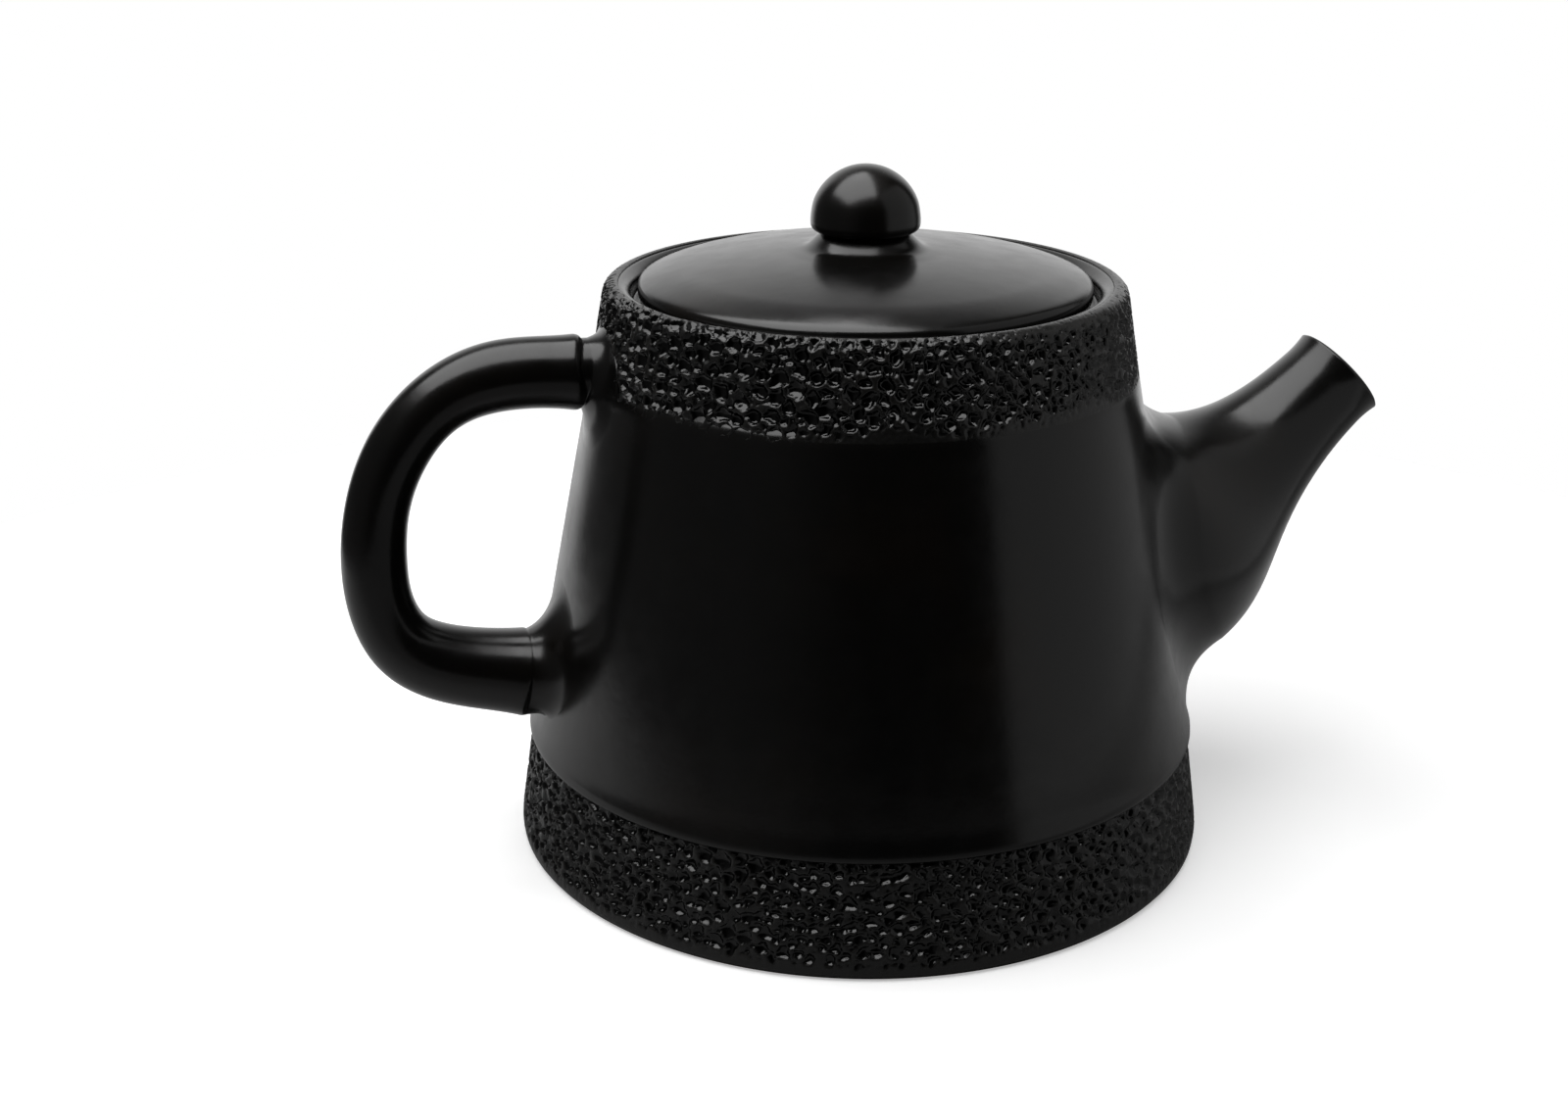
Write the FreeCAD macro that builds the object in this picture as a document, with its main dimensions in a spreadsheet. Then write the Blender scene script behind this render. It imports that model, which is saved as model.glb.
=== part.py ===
"""Round stoneware teapot with a loop handle, an upright spout and a lift-off lid.

Millimetres, +Z up. The origin is the centre of the foot's resting plane, the
spout points along +X and the handle along -X. The clay pieces that a potter
makes one by one and lutes together are separate solids.
"""
import FreeCAD, Part
import math
import os

import Sketcher

os.makedirs("parts", exist_ok=True)

doc = FreeCAD.newDocument("Teapot")
vec = FreeCAD.Vector

# ---------------------------------------------------------------- dimensions
SIZES = {
    # outline of the pot
    "base_radius": 69.8,
    "base_edge": 0.8,
    "foot_height": 3.4,
    "foot_inner_radius": 58.0,
    "low_band_top": 23.0,
    "low_band_top_radius": 67.3,
    "low_band_draw_in": 0.2,
    "high_band_low": 95.5,
    "high_band_top": 110.9,
    "high_band_thick": 1.6,
    "high_band_low_radius": 52.95,
    "high_band_top_radius": 50.2,
    "neck_draw_in": 1.1,
    # wall, floor and lip
    "wall_thick": 5.4,
    "floor_top": 8.0,
    "wall_top": 101.5,
    "lip_height": 112.8,
    "lip_crown_radius": 48.0,
    "lip_round": 2.6,
    "lip_inner_radius": 45.7,
    "lip_inner_top": 110.9,
    "ledge_height": 108.5,
    "ledge_radius": 40.0,
    "ledge_thick": 4.0,
    # lid
    "lid_gap": 0.3,
    "lid_radius": 43.0,
    "lid_edge_top": 112.1,
    "lid_edge_round": 2.4,
    "lid_brow_radius": 40.8,
    "lid_brow_height": 114.4,
    "lid_dome_round": 175.0,
    "lid_flare_radius": 15.5,
    "lid_flare_height": 118.3,
    "lid_flare_round": 16.0,
    "lid_crown_height": 120.2,
    "lid_under_bevel": 1.0,
    "lid_under_radius": 33.2,
    "lid_under_edge": 110.4,
    "lid_under_height": 113.8,
    "flange_radius": 38.2,
    "flange_thick": 3.2,
    "flange_foot": 98.8,
    "flange_bevel": 1.0,
    "flange_bevel_height": 1.4,
    # knob
    "knob_neck_radius": 8.4,
    "knob_neck_top": 121.6,
    "knob_under_radius": 9.5,
    "knob_radius": 10.45,
    "knob_wide_height": 122.9,
    "knob_under_round": 1.4,
    "knob_shoulder_height": 127.6,
    "knob_side_round": 15.5,
    "knob_crown_height": 134.4,
    "knob_crown_round": 10.6,
    # spout and its strainer
    "spout_wall": 2.8,
    "spout_hole_radius": 20.0,
    "spout_hole_height": 55.0,
    "spout_hole_reach": 80.0,
    "spout_bore_overrun": 0.5,
    "strainer_centre": 60.0,
    "strainer_radius": 24.0,
    "strainer_thick": 2.5,
    "strainer_hole_radius": 1.6,
    "strainer_pitch": 6.2,
    "strainer_drill_start": 31.0,
}

# The hole behind the spout takes away at least this much clay, in cubic millimetres.
LEAST_HOLE_VOLUME = 1000

# Holes of the strainer: how many in the middle and in each ring round it.
STRAINER_RINGS = [1, 6, 12]

# Stations of the spout's centre line: distance out, height, rise in degrees, outer radius.
SPOUT_STATIONS = [
    (50.0, 54.0, 2.0, 30.8),
    (60.0, 55.2, 12.0, 29.6),
    (69.0, 58.4, 26.0, 26.2),
    (79.6, 65.0, 36.5, 17.7),
    (90.0, 73.5, 41.5, 12.1),
    (97.8, 80.6, 42.0, 10.4),
    (104.8, 86.9, 42.0, 10.0),
]

# Stations of the handle's centre line: distance out, height, radius.
HANDLE_STATIONS = [
    (46.0, 98.6, 8.6),
    (55.5, 98.7, 6.6),
    (64.0, 98.7, 5.6),
    (72.5, 98.0, 5.7),
    (81.4, 94.7, 5.8),
    (89.6, 86.7, 5.9),
    (94.4, 76.5, 6.0),
    (96.2, 64.0, 6.0),
    (95.2, 54.0, 6.2),
    (91.4, 46.4, 6.5),
    (84.2, 41.6, 7.0),
    (75.0, 39.0, 7.5),
    (66.5, 37.4, 8.0),
    (56.0, 36.6, 10.0),
]


def fill_sheet():
    """Put every driving dimension in the spreadsheet, one named cell each."""
    table = doc.addObject("Spreadsheet::Sheet", "Sizes")
    rows = dict(SIZES)
    for number, (out, up, rise, radius) in enumerate(SPOUT_STATIONS, 1):
        rows["spout_%d_out" % number] = out
        rows["spout_%d_up" % number] = up
        rows["spout_%d_rise" % number] = rise
        rows["spout_%d_radius" % number] = radius
    for number, (out, up, radius) in enumerate(HANDLE_STATIONS, 1):
        rows["handle_%d_out" % number] = out
        rows["handle_%d_up" % number] = up
        rows["handle_%d_radius" % number] = radius
    for row, (name, value) in enumerate(rows.items(), 1):
        table.set("A%d" % row, name)
        table.set("B%d" % row, str(value))
        table.setAlias("B%d" % row, name)
    doc.recompute()
    return table, set(rows)


sheet, aliases = fill_sheet()


def cell(text):
    """Turn words that are sheet aliases into full references: 'lid_radius - 1'."""
    return " ".join("Sizes." + word if word in aliases else word for word in text.split())


def number(text):
    """Value of an expression over the sheet."""
    found = sheet.evalExpression(cell(text))
    return float(getattr(found, "Value", found))


# ------------------------------------------------------------ turned pieces
def origin_plane(body, role):
    """Origin plane of a body by its role, such as XZ_Plane."""
    for feature in body.Origin.OriginFeatures:
        if feature.Role == role:
            return feature
    raise ValueError(role)


def arc_between(start, end, radius, bulge):
    """Arc of a given radius from start to end; bulge is +1 left of the chord, -1 right."""
    chord = end - start
    half = chord.Length / 2
    side = vec(-chord.y, chord.x, 0).normalize() * bulge
    sagitta = radius - math.sqrt(radius * radius - half * half)
    middle = (start + end) * 0.5 + side * sagitta
    return Part.Arc(start, middle, end)


def draw_profile(sketch, corners):
    """Closed half profile. Each corner is (radius, height) or (radius, height, round, bulge);
    the last two turn the edge that leaves the corner into an arc."""
    points = [vec(number(corner[0]), number(corner[1]), 0) for corner in corners]
    count = len(corners)
    for index, corner in enumerate(corners):
        start = points[index]
        end = points[(index + 1) % count]
        if len(corner) == 4:
            sketch.addGeometry(arc_between(start, end, number(corner[2]), corner[3]), False)
        else:
            sketch.addGeometry(Part.LineSegment(start, end), False)
    # An arc drawn clockwise is stored the other way round, so its ends are looked up.
    ends = []
    for index in range(count):
        first = sketch.getPoint(index, 1)
        forward = first.distanceToPoint(points[index]) < 1e-6
        ends.append((1, 2) if forward else (2, 1))
    for index, corner in enumerate(corners):
        after = (index + 1) % count
        sketch.addConstraint(Sketcher.Constraint(
            "Coincident", index, ends[index][1], after, ends[after][0]))
        pin(sketch, index, ends[index][0], "DistanceX", -2, corner[0])
        pin(sketch, index, ends[index][0], "DistanceY", -1, corner[1])
        if len(corner) == 4:
            place = sketch.addConstraint(Sketcher.Constraint("Radius", index, number(corner[2])))
            sketch.setExpression("Constraints[%d]" % place, cell(corner[2]))


def pin(sketch, edge, end, kind, axis, text):
    """Hold one coordinate of a corner at a sheet value, or on the axis when it is zero."""
    value = number(text)
    if abs(value) < 1e-9:
        sketch.addConstraint(Sketcher.Constraint("PointOnObject", edge, end, axis))
        return
    place = sketch.addConstraint(Sketcher.Constraint(kind, -1, 1, edge, end, value))
    sketch.setExpression("Constraints[%d]" % place, cell(text))


def turned_body(name, corners):
    """PartDesign body made by turning a half profile about the pot's axis."""
    body = doc.addObject("PartDesign::Body", name)
    body.Label = name
    sketch = body.newObject("Sketcher::SketchObject", name + "_profile")
    sketch.AttachmentSupport = [(origin_plane(body, "XZ_Plane"), "")]
    sketch.MapMode = "FlatFace"
    draw_profile(sketch, corners)
    doc.recompute()
    turning = body.newObject("PartDesign::Revolution", name + "_turned")
    turning.Profile = sketch
    turning.ReferenceAxis = (sketch, ["V_Axis"])
    turning.Angle = 360
    doc.recompute()
    return body


def body_wall():
    """Thrown cone from the base up, recessed for the upper band, open behind the spout."""
    body = turned_body("body_wall", [
        ("low_band_top_radius - wall_thick", "low_band_top"),
        ("low_band_top_radius", "low_band_top"),
        ("high_band_low_radius", "high_band_low"),
        ("high_band_low_radius - high_band_thick", "high_band_low"),
        ("high_band_low_radius - neck_draw_in - high_band_thick", "wall_top"),
        ("high_band_low_radius - neck_draw_in - wall_thick", "wall_top"),
    ])
    before = body.Shape.Volume
    sketch = body.newObject("Sketcher::SketchObject", "spout_hole_circle")
    sketch.AttachmentSupport = [(origin_plane(body, "YZ_Plane"), "")]
    sketch.MapMode = "FlatFace"
    centre = vec(0, number("spout_hole_height"), 0)
    radius = number("spout_hole_radius")
    sketch.addGeometry(Part.Circle(centre, vec(0, 0, 1), radius), False)
    sketch.addConstraint(Sketcher.Constraint("PointOnObject", 0, 3, -2))
    place = sketch.addConstraint(Sketcher.Constraint("DistanceY", -1, 1, 0, 3, centre.y))
    sketch.setExpression("Constraints[%d]" % place, cell("spout_hole_height"))
    place = sketch.addConstraint(Sketcher.Constraint("Radius", 0, radius))
    sketch.setExpression("Constraints[%d]" % place, cell("spout_hole_radius"))
    pocket = body.newObject("PartDesign::Pocket", "spout_hole")
    pocket.Profile = sketch
    pocket.setExpression("Length", cell("spout_hole_reach"))
    pocket.Reversed = True
    doc.recompute()
    if before - body.Shape.Volume < LEAST_HOLE_VOLUME:
        raise RuntimeError("the hole behind the spout cut nothing")
    return body


def floor_disc():
    """Flat disc of clay luted into the base."""
    return turned_body("floor_disc", [
        ("0", "foot_height"),
        ("low_band_top_radius - wall_thick", "foot_height"),
        ("low_band_top_radius - wall_thick", "floor_top"),
        ("0", "floor_top"),
    ])


def rim_ring():
    """Rounded lip with the ledge that carries the lid."""
    return turned_body("rim_ring", [
        ("high_band_low_radius - neck_draw_in - wall_thick", "wall_top"),
        ("high_band_low_radius - neck_draw_in - high_band_thick", "wall_top"),
        ("high_band_top_radius - high_band_thick", "high_band_top"),
        ("high_band_top_radius", "high_band_top", "lip_round", -1),
        ("lip_crown_radius", "lip_height", "lip_round", -1),
        ("lip_inner_radius", "lip_inner_top"),
        ("lip_inner_radius", "ledge_height"),
        ("ledge_radius", "ledge_height"),
        ("ledge_radius", "ledge_height - ledge_thick"),
    ])


def upper_pitted_band():
    """Textured collar under the lip."""
    return turned_body("upper_pitted_band", [
        ("high_band_low_radius - high_band_thick", "high_band_low"),
        ("high_band_low_radius", "high_band_low"),
        ("high_band_top_radius", "high_band_top"),
        ("high_band_top_radius - high_band_thick", "high_band_top"),
        ("high_band_low_radius - neck_draw_in - high_band_thick", "wall_top"),
    ])


def lower_pitted_band():
    """Base of the pot, textured outside, that holds the floor and carries the cone."""
    return turned_body("lower_pitted_band", [
        ("low_band_top_radius - wall_thick", "foot_height"),
        ("base_radius - low_band_draw_in", "foot_height"),
        ("low_band_top_radius", "low_band_top"),
        ("low_band_top_radius - wall_thick", "low_band_top"),
    ])


def foot_ring():
    """Ring that the pot stands on, bare clay underneath."""
    return turned_body("foot_ring", [
        ("foot_inner_radius", "foot_height"),
        ("foot_inner_radius + base_edge", "base_edge"),
        ("foot_inner_radius + 2 * base_edge", "0"),
        ("base_radius - base_edge", "0"),
        ("base_radius", "base_edge"),
        ("base_radius - low_band_draw_in", "foot_height"),
    ])


def lid_plate():
    """Shallow domed lid that rises in a small flare under the knob."""
    rise = "( lid_under_height - lid_under_edge )"
    under_round = "( lid_under_radius ^ 2 + %s ^ 2 ) / ( 2 * %s )" % (rise, rise)
    return turned_body("lid_plate", [
        ("0", "lid_crown_height"),
        ("0", "lid_under_height", under_round, 1),
        ("lid_under_radius", "lid_under_edge"),
        ("flange_radius - flange_thick", "ledge_height + lid_gap"),
        ("lid_radius - lid_under_bevel", "ledge_height + lid_gap"),
        ("lid_radius", "ledge_height + lid_gap + lid_under_bevel"),
        ("lid_radius", "lid_edge_top", "lid_edge_round", -1),
        ("lid_brow_radius", "lid_brow_height", "lid_dome_round", -1),
        ("lid_flare_radius", "lid_flare_height", "lid_flare_round", 1),
        ("knob_neck_radius", "lid_crown_height"),
    ])


def lid_flange():
    """Ring under the lid that keeps it centred in the mouth."""
    return turned_body("lid_flange", [
        ("flange_radius - flange_thick", "ledge_height + lid_gap"),
        ("flange_radius - flange_thick", "flange_foot"),
        ("flange_radius - flange_bevel", "flange_foot"),
        ("flange_radius", "flange_foot + flange_bevel_height"),
        ("flange_radius", "ledge_height + lid_gap"),
    ])


def lid_knob():
    """Domed button on a short neck; its crown is part of a ball centred on the axis."""
    above_centre = "( knob_shoulder_height - knob_crown_height + knob_crown_round )"
    shoulder_radius = "sqrt( knob_crown_round ^ 2 - %s ^ 2 )" % above_centre
    return turned_body("lid_knob", [
        ("0", "lid_crown_height"),
        ("knob_neck_radius", "lid_crown_height"),
        ("knob_neck_radius", "knob_neck_top"),
        ("knob_under_radius", "knob_neck_top", "knob_under_round", -1),
        ("knob_radius", "knob_wide_height", "knob_side_round", -1),
        (shoulder_radius, "knob_shoulder_height", "knob_crown_round", -1),
        ("0", "knob_crown_height"),
    ])


# -------------------------------------------------------- forms to cut with
def outer_form():
    """The pot's whole outside as one block; the spout and handle are trimmed to it."""
    return turned_body("outer_form", [
        ("0", "0"),
        ("base_radius - base_edge", "0"),
        ("base_radius", "base_edge"),
        ("base_radius - low_band_draw_in", "foot_height"),
        ("low_band_top_radius", "low_band_top"),
        ("high_band_low_radius", "high_band_low"),
        ("high_band_top_radius", "high_band_top"),
        ("0", "high_band_top"),
    ])


def inner_form():
    """The space inside the wall beside the spout; the strainer is trimmed to it."""
    return turned_body("inner_form", [
        ("0", "low_band_top"),
        ("low_band_top_radius - wall_thick", "low_band_top"),
        ("high_band_low_radius - neck_draw_in - wall_thick", "wall_top"),
        ("0", "wall_top"),
    ])


# ------------------------------------------------------ spout and handle
def round_section(name, centre, direction, radius_text):
    """Circle square to a direction, its radius bound to the sheet."""
    circle = doc.addObject("Part::Circle", name)
    circle.setExpression("Radius", cell(radius_text))
    circle.Placement = FreeCAD.Placement(centre, FreeCAD.Rotation(vec(0, 0, 1), direction))
    return circle


def skin(name, sections):
    """Solid through a row of round sections."""
    loft = doc.addObject("Part::Loft", name)
    loft.Sections = sections
    loft.Solid = True
    loft.Ruled = False
    return loft


def cut(name, base, tool):
    """Base without the tool."""
    result = doc.addObject("Part::Cut", name)
    result.Base = base
    result.Tool = tool
    return result


def spout_sections(name, less, overrun):
    """Sections of the spout, 'less' thinner, the last pushed 'overrun' past the mouth."""
    sections = []
    last = len(SPOUT_STATIONS)
    for step in range(1, last + 1):
        rise = math.radians(number("spout_%d_rise" % step))
        direction = vec(math.cos(rise), 0, math.sin(rise))
        centre = vec(number("spout_%d_out" % step), 0, number("spout_%d_up" % step))
        if step == last:
            centre += direction * overrun
        radius = "spout_%d_radius - %s" % (step, less)
        sections.append(round_section("%s_%d" % (name, step), centre, direction, radius))
    return sections


def spout(outside):
    """Hollow spout, wide where it meets the wall, trimmed to the outside of the pot."""
    solid = skin("spout_solid", spout_sections("spout_outer", "0", 0))
    bore = skin("spout_bore", spout_sections(
        "spout_inner", "spout_wall", number("spout_bore_overrun")))
    hollow = cut("spout_hollow", solid, bore)
    result = cut("spout_trimmed", hollow, outside)
    result.Label = "spout"
    return result


def handle(outside):
    """Loop handle of round clay, thicker towards its lower end."""
    centres = []
    for step in range(1, len(HANDLE_STATIONS) + 1):
        centres.append(vec(-number("handle_%d_out" % step), 0, number("handle_%d_up" % step)))
    sections = []
    last = len(centres) - 1
    for index, centre in enumerate(centres):
        direction = centres[min(index + 1, last)] - centres[max(index - 1, 0)]
        step = index + 1
        sections.append(round_section(
            "handle_ring_%d" % step, centre, direction, "handle_%d_radius" % step))
    result = cut("handle_trimmed", skin("handle_rod", sections), outside)
    result.Label = "handle"
    return result


def spout_strainer(inside):
    """Pierced clay dome over the hole behind the spout."""
    shells = []
    for name, radius in (("dome_outer", "strainer_radius"),
                         ("dome_inner", "strainer_radius - strainer_thick")):
        ball = doc.addObject("Part::Sphere", name)
        ball.setExpression("Radius", cell(radius))
        ball.Placement.Base = vec(number("strainer_centre"), 0, number("spout_hole_height"))
        shells.append(ball)
    dome = doc.addObject("Part::Common", "dome_inside")
    dome.Base = cut("dome_shell", shells[0], shells[1])
    dome.Tool = inside
    pitch = number("strainer_pitch")
    drills = []
    for ring, count in enumerate(STRAINER_RINGS):
        for place in range(count):
            angle = 2 * math.pi * place / count
            drill = doc.addObject("Part::Cylinder", "drill_%d_%d" % (ring, place))
            drill.setExpression("Radius", cell("strainer_hole_radius"))
            drill.setExpression("Height", cell("strainer_radius * 2"))
            middle = vec(number("strainer_drill_start"),
                         ring * pitch * math.cos(angle),
                         number("spout_hole_height") + ring * pitch * math.sin(angle))
            drill.Placement = FreeCAD.Placement(
                middle, FreeCAD.Rotation(vec(0, 0, 1), vec(1, 0, 0)))
            drills.append(drill)
    holes = doc.addObject("Part::MultiFuse", "drills")
    holes.Shapes = drills
    result = cut("strainer_pierced", dome, holes)
    result.Label = "spout_strainer"
    return result


# ------------------------------------------------------------------- output
def check_and_write(pieces):
    """Stop on any failed object or bad shape, then write one STEP file per piece."""
    doc.recompute()
    for item in doc.Objects:
        if "Invalid" in item.State or "Error" in item.State:
            raise RuntimeError("failed object: %s %s" % (item.Name, item.State))
    for piece in pieces:
        shape = piece.Shape
        if shape.isNull() or not shape.isValid() or len(shape.Solids) != 1:
            raise RuntimeError("bad shape: %s, %d solids" % (piece.Label, len(shape.Solids)))
    for piece in pieces:
        piece.Shape.exportStep("parts/%s.step" % piece.Label)
        box = piece.Shape.optimalBoundingBox()
        print("%-18s %9.1f mm3  x %.1f..%.1f  z %.1f..%.1f" % (
            piece.Label, piece.Shape.Volume, box.XMin, box.XMax, box.ZMin, box.ZMax))


outside = outer_form()
inside = inner_form()
check_and_write([
    body_wall(),
    floor_disc(),
    rim_ring(),
    upper_pitted_band(),
    lower_pitted_band(),
    foot_ring(),
    spout(outside),
    spout_strainer(inside),
    handle(outside),
    lid_plate(),
    lid_flange(),
    lid_knob(),
])
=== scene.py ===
"""Looks for the black stoneware teapot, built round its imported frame.

Lengths in the tables are millimetres in the row frame: the pot's axis is Z, the
foot stands on z = 0, the spout points along +X and the handle along -X.
"""

import math

import bmesh
import bpy
import numpy as np
from mathutils import Euler, Matrix, Vector


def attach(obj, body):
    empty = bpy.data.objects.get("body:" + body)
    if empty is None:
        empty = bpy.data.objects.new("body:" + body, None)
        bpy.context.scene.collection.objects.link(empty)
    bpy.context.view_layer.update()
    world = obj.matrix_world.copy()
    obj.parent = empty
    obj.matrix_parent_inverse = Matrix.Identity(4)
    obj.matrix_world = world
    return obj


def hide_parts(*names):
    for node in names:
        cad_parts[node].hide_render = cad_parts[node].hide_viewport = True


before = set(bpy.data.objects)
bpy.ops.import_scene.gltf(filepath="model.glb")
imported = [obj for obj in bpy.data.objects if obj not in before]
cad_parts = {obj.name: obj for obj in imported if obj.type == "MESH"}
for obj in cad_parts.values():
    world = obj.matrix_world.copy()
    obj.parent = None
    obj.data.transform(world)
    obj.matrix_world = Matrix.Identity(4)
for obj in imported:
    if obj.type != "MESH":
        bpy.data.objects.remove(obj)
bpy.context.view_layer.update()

MM = 0.001
TURN = 2 * math.pi

# Outside of the pot: heights and the radius at each.
WALL_HEIGHTS = (0.0, 3.4, 23.0, 95.5, 110.9, 112.8)
WALL_RADII = (69.8, 69.6, 67.3, 52.95, 50.2, 49.9)

# Stations of the spout's centre line: distance out, height, rise in degrees, radius.
SPOUT_STATIONS = (
    (50.0, 54.0, 2.0, 30.8),
    (60.0, 55.2, 12.0, 29.6),
    (69.0, 58.4, 26.0, 26.2),
    (79.6, 65.0, 36.5, 17.7),
    (90.0, 73.5, 41.5, 12.1),
    (97.8, 80.6, 42.0, 10.4),
    (104.8, 86.9, 42.0, 10.0),
)
SPOUT_WALL = 2.8
SPOUT_FLARE = 0.65
SPOUT_MOUTH_ROUNDING = 0.9
# How far the spout's fillet runs out along it, and how much that grows above and below
# and shrinks at the sides.
SPOUT_REACH = 10.8
SPOUT_REACH_MORE = 1.6

# Stations of the handle's centre line: distance out, height, radius.
HANDLE_STATIONS = (
    (46.0, 98.2, 6.6),
    (55.5, 98.2, 6.7),
    (64.0, 98.6, 6.6),
    (72.5, 98.2, 6.5),
    (81.4, 94.9, 6.2),
    (89.6, 86.8, 6.0),
    (94.4, 76.5, 6.0),
    (96.2, 64.0, 6.0),
    (95.2, 54.0, 6.3),
    (91.4, 46.6, 6.9),
    (84.2, 42.1, 7.6),
    (75.0, 39.7, 8.1),
    (66.5, 38.4, 8.3),
    (56.0, 37.8, 8.6),
)

# Each crease: distance out, way along the line, radius of the root behind it, and how
# far the limb swells before it on the loop's outer and inner side.
HANDLE_CREASES = (
    (56.1, 1, 6.2, 0.4, 0.8),
    (67.9, -1, 7.4, 1.0, 0.2),
)
CREASE_WIDTH = 1.7
CREASE_SWELL_LENGTH = 3.2
# The limb's own radius is kept beyond this length past a crease.
CREASE_ZONE = 25

# No limb's root spreads below this height, where the wall's rolled edge starts.
ROOT_FLOOR = 25.0
# About how far the wall leans in for each mm of height.
WALL_LEAN = 0.19
# Least spread of a root over the wall, and how far its edge is sunk into it.
LEAST_SPREAD = 0.5
EDGE_SINK = 0.03

# Smallest pit worth carving.
SMALLEST_PIT = 0.18
# How far pits' outlines are pushed about.
PIT_WARP = 0.16

# Outlines of the turned pieces: radius, height and, where the edge to the next point is
# an arc, its radius and side.
WALL_OUTLINE = (
    (61.9, 22.6), (64.1, 22.0), (66.3, 22.1), (67.3, 22.3), (67.65, 22.8), (67.55, 23.5),
    (67.2, 24.4), (66.8, 25.6), (66.3, 28.0), (52.95, 95.5), (52.68, 96.9), (51.2, 97.0),
    (50.2, 101.4), (46.5, 101.4),
)
FLOOR_OUTLINE = (
    (0.0, 3.4), (61.5, 3.4), (61.8, 3.7), (61.8, 9.0), (61.2, 8.3), (60.2, 8.0), (0.0, 8.0),
)
LIP_OUTLINE = (
    (46.6, 101.6), (50.1, 101.6), (48.5, 108.6), (48.3, 111.0), (47.6, 112.3), (47.25, 112.62, 3.1, -1),
    (44.7, 110.5), (44.6, 108.5), (40.0, 108.5), (40.0, 104.6),
)
FOOT_OUTLINE = (
    (58.0, 3.4), (58.6, 0.9), (59.6, 0.0), (68.6, 0.0), (69.35, 0.35), (69.45, 1.2), (69.3, 3.0),
    (68.6, 3.4),
)
LID_OUTLINE = (
    (0.0, 122.2), (7.9, 122.2), (10.9, 119.2), (11.9, 118.75), (15.5, 118.3, 175.0, 1),
    (36.0, 115.4, 40.0, 1), (42.8, 113.15, 1.6, 1), (43.5, 112.2), (43.5, 109.8), (42.4, 108.8),
    (35.0, 108.8), (33.2, 110.4, 162.0, -1), (0.0, 113.8),
)
COLLAR_OUTLINE = (
    (35.0, 108.9), (35.0, 98.8), (37.2, 98.8), (38.2, 100.2), (38.2, 108.9),
)
KNOB_OUTLINE = (
    (0.0, 120.4), (7.7, 120.4), (7.75, 121.2), (8.1, 121.6), (9.6, 121.95), (10.3, 122.5),
    (10.5, 123.3, 15.5, -1), (9.9, 127.6, 10.6, -1), (0.0, 134.4),
)


# ------------------------------------------------------------------ outlines
def edge_points(start, end, step):
    """Points from one corner up to the next; four-number corners bow the edge."""
    a = np.array(start[:2], float)
    b = np.array(end[:2], float)
    chord = b - a
    length = float(np.hypot(chord[0], chord[1]))
    count = max(1, int(round(length / step)))
    share = np.arange(count)[:, None] / count
    if len(start) == 2:
        return a + share * chord
    radius, side = start[2], start[3]
    half = length / 2
    left = np.array((-chord[1], chord[0])) / length * side
    centre = (a + b) / 2 - left * math.sqrt(radius * radius - half * half)
    first = math.atan2(a[1] - centre[1], a[0] - centre[0])
    angle = first - share[:, 0] * 2 * math.asin(half / radius) * side
    return centre + radius * np.stack((np.cos(angle), np.sin(angle)), 1)


def trace(corners, step, closed, rounds=2):
    """Even points along an outline whose corners are softened a little."""
    last = len(corners) if closed else len(corners) - 1
    parts = [edge_points(corners[i], corners[(i + 1) % len(corners)], step) for i in range(last)]
    if not closed:
        parts.append(np.array([corners[-1][:2]], float))
    points = np.concatenate(parts)
    for _ in range(rounds):
        softer = (np.roll(points, 1, 0) + 2 * points + np.roll(points, -1, 0)) / 4
        if not closed:
            softer[0], softer[-1] = points[0], points[-1]
        points = softer
    return points


def smooth_line(stations, count):
    """Natural cubic curve through the stations, stepped evenly by chord length."""
    points = np.array(stations, float)
    along = lengths_along(points[:, :2])
    gaps = np.diff(along)
    size = len(points)
    matrix = np.eye(size)
    pull = np.zeros_like(points)
    for i in range(1, size - 1):
        matrix[i, i - 1:i + 2] = gaps[i - 1], 2 * (gaps[i - 1] + gaps[i]), gaps[i]
        pull[i] = 6 * ((points[i + 1] - points[i]) / gaps[i] - (points[i] - points[i - 1]) / gaps[i - 1])
    bend = np.linalg.solve(matrix, pull)
    where = np.linspace(0, along[-1], count)
    i = np.clip(np.searchsorted(along, where, side="right") - 1, 0, size - 2)
    gap = gaps[i][:, None]
    before = (where - along[i])[:, None]
    after = gap - before
    return ((bend[i] * after ** 3 + bend[i + 1] * before ** 3) / (6 * gap)
            + (points[i] / gap - bend[i] * gap / 6) * after
            + (points[i + 1] / gap - bend[i + 1] * gap / 6) * before)


def lengths_along(line):
    """Length along a line at each of its points."""
    return np.concatenate(([0.0], np.cumsum(np.linalg.norm(np.diff(line, axis=0), axis=1))))


def soften(values, rounds):
    """Values along a line, evened out while the ends stay."""
    for _ in range(rounds):
        inner = (values[:-2] + 2 * values[1:-1] + values[2:]) / 4
        values = np.concatenate((values[:1], inner, values[-1:]))
    return values


# ------------------------------------------------------------------ surfaces
def sway(theta, height):
    """Slight unevenness of the thrown wall, in mm outwards."""
    rise = height / 110
    return (0.10 * np.cos(2 * theta + 1.1) * rise
            + 0.05 * np.cos(3 * theta - 0.7 + 2 * rise)
            + 0.003 * np.sin(height * 1.15 + 1.5 * np.sin(theta)))


def wall_radius(theta, height):
    """Radius of the pot's outside at a place."""
    return np.interp(height, WALL_HEIGHTS, WALL_RADII) + sway(theta, height)


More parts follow.
